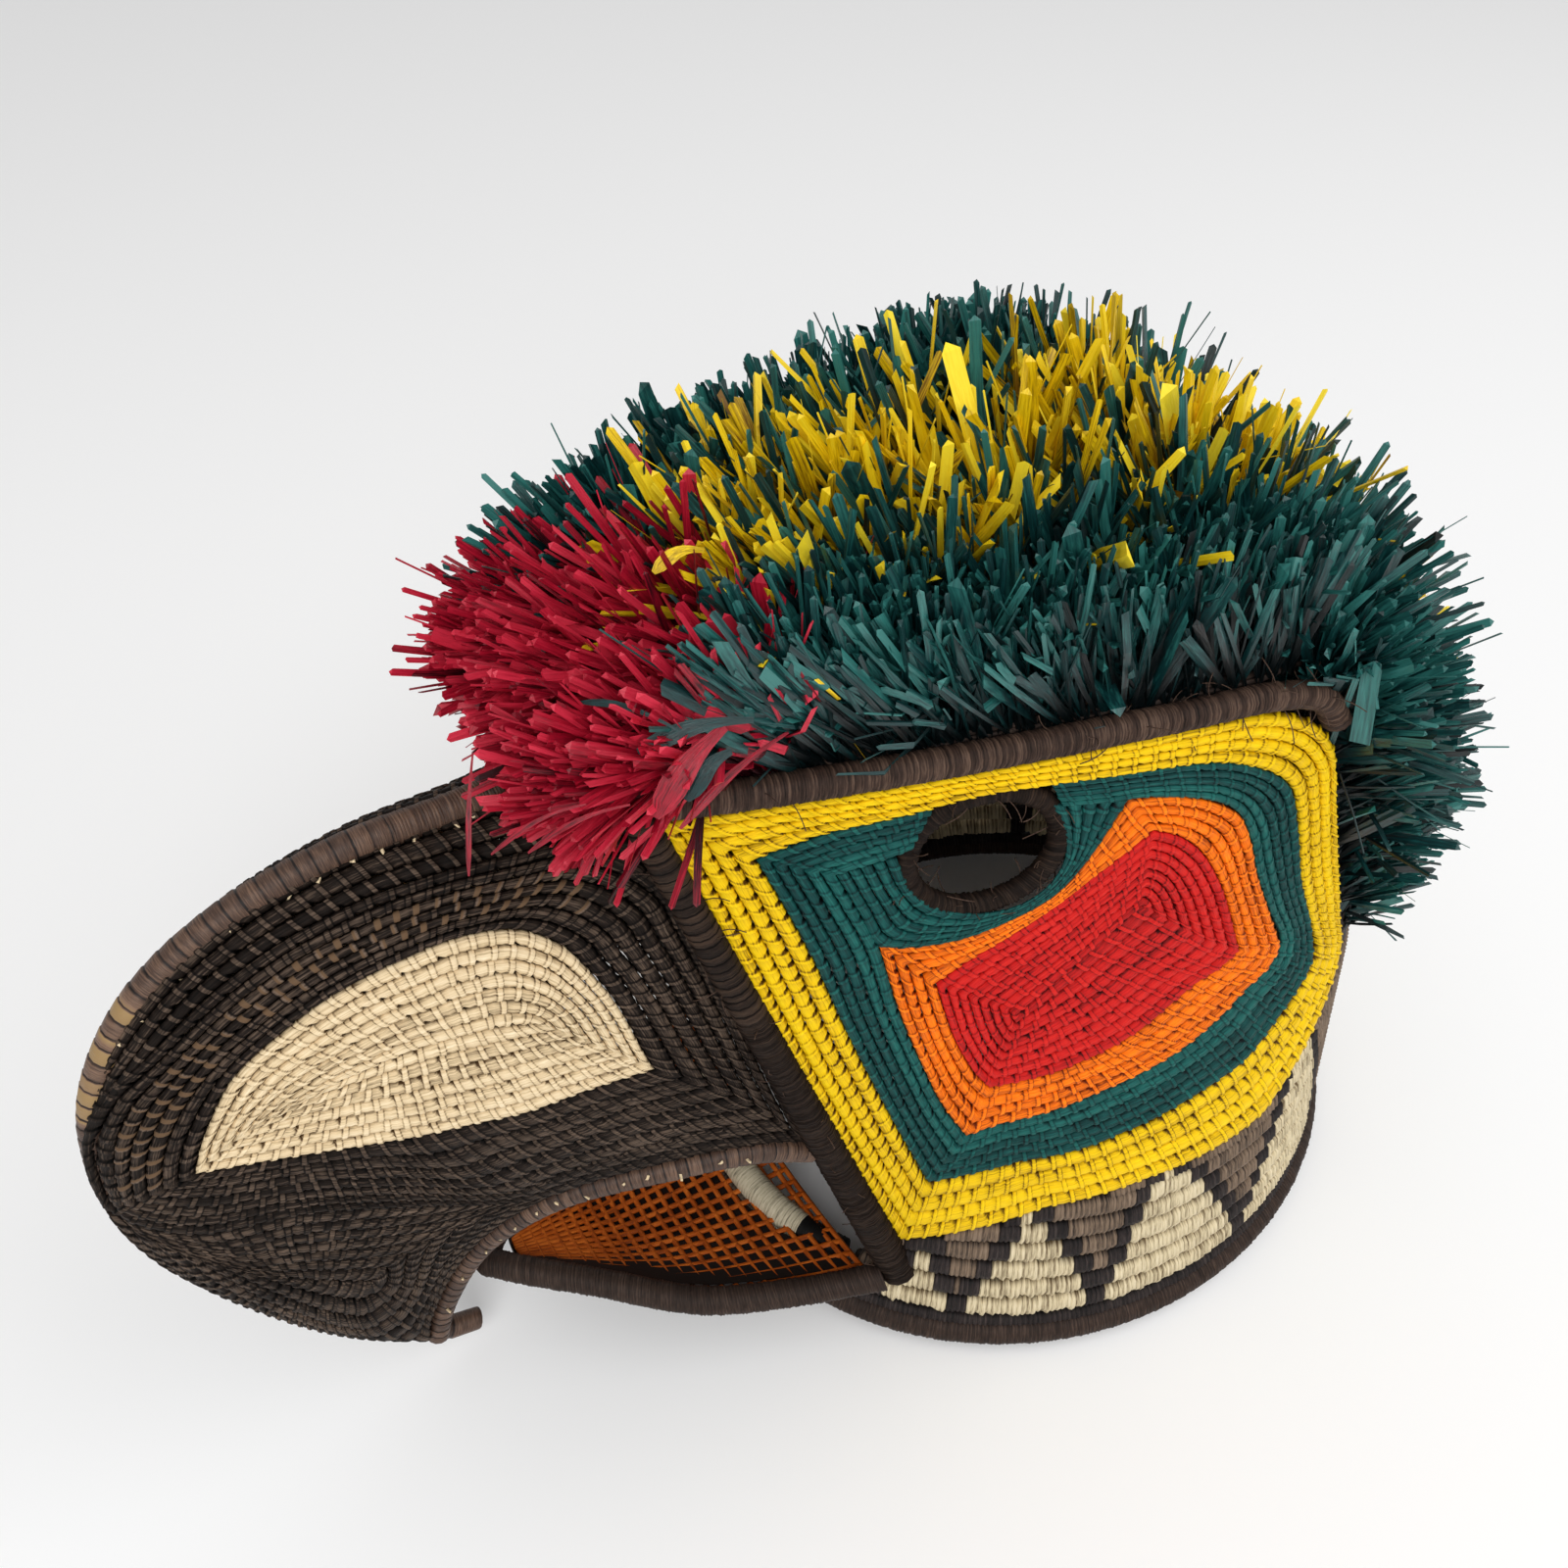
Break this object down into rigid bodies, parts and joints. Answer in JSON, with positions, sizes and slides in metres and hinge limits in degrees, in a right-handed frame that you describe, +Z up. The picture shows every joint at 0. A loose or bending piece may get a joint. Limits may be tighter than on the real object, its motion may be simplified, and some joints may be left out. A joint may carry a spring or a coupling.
{
  "type": "bird mask",
  "caption": "Bird mask of coiled palm fibre that goes over the head: oval head band, face panels with eye holes, hooked beak with an open mouth, and a brush crest of cut strips.",
  "frame": {"origin": "on the floor, under the middle of the whole mask", "axes": "+Z up, the beak points along -X, the bird's left side is -Y"},
  "size_m": [0.3564, 0.184, 0.2537],
  "materials": {
    "roll_fibre": "matt wrapped palm fibre, dark brown",
    "band_fibre": "matt coiled palm fibre, grey-brown with cream and black steps",
    "throat_fibre": "matt wrapped palm fibre, cream",
    "face_fibre": "matt coiled palm fibre in yellow, blue-green, orange and red",
    "beak_fibre": "matt coiled palm fibre, near black with a cream half-moon",
    "lower_beak_fibre": "open orange fibre grid over a dark lining",
    "crown_fibre": "matt coiled palm fibre, brown",
    "crest_red_strips": "cut palm strips, slight sheen, crimson",
    "crest_yellow_strips": "cut palm strips, slight sheen, yellow",
    "crest_green_strips": "cut palm strips, slight sheen, blue-green"
  },
  "bodies": {
    "root": {"base_roll": "roll_fibre", "head_band": "band_fibre", "throat_bar": "throat_fibre", "face_panel_left": "face_fibre", "face_panel_right": "face_fibre", "eye_roll_left": "roll_fibre", "eye_roll_right": "roll_fibre", "top_roll_left": "roll_fibre", "top_roll_right": "roll_fibre", "cheek_roll_left": "roll_fibre", "cheek_roll_right": "roll_fibre", "beak_panel_left": "beak_fibre", "beak_panel_right": "beak_fibre", "ridge_roll": "roll_fibre", "mouth_roll_left": "roll_fibre", "mouth_roll_right": "roll_fibre", "lower_beak": "lower_beak_fibre", "lower_beak_roll": "roll_fibre", "crown": "crown_fibre", "crest_red": "crest_red_strips", "crest_yellow": "crest_yellow_strips", "crest_green_left": "crest_green_strips", "crest_green_right": "crest_green_strips"}
  },
  "joints": []
}
